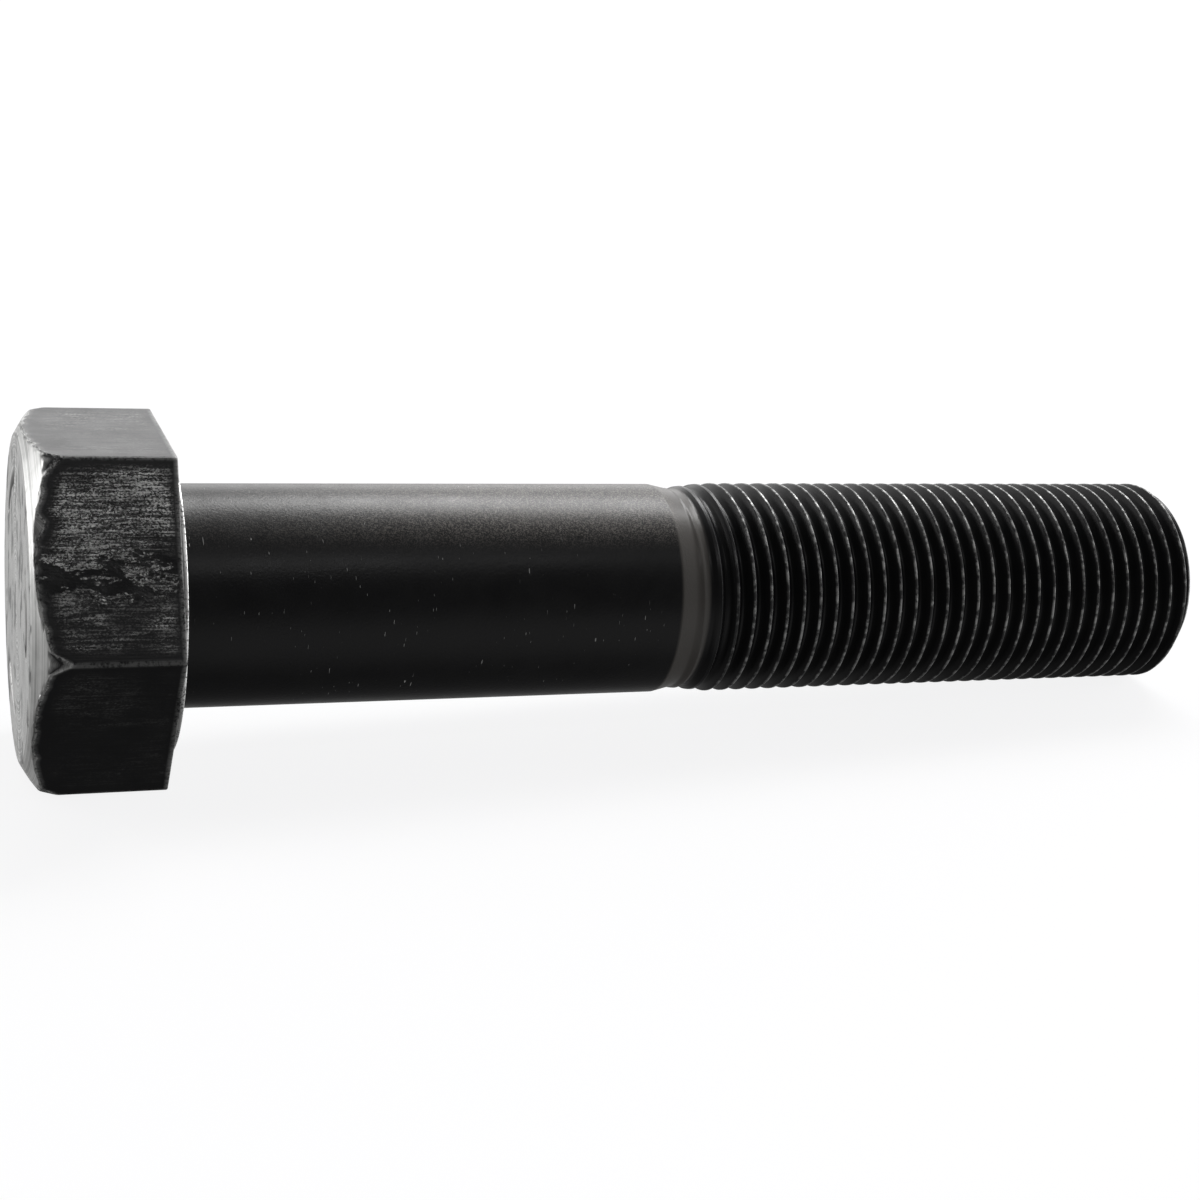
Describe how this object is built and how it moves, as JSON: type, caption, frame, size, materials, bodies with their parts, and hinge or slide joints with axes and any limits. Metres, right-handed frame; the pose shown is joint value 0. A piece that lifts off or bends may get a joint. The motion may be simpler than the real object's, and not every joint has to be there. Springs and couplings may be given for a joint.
{
  "type": "hex bolt",
  "caption": "Long hexagon head bolt with a washer face under the head, a plain shank and a right-hand fine thread ending in a chamfered tip.",
  "frame": {"origin": "centre of the bearing face, the flat ring under the head that bolt lengths are measured from", "axes": "+X along the bolt from the head towards the tip, +Z square to the uppermost flat of the hexagon, so the bolt lies on a flat"},
  "size_m": [0.135, 0.0406, 0.0354],
  "materials": {
    "black_steel": "black oxide over forged and rolled steel, worn bright on the head chamfer and the thread crests"
  },
  "bodies": {
    "root": {"hex_bolt": "black_steel"}
  },
  "joints": []
}
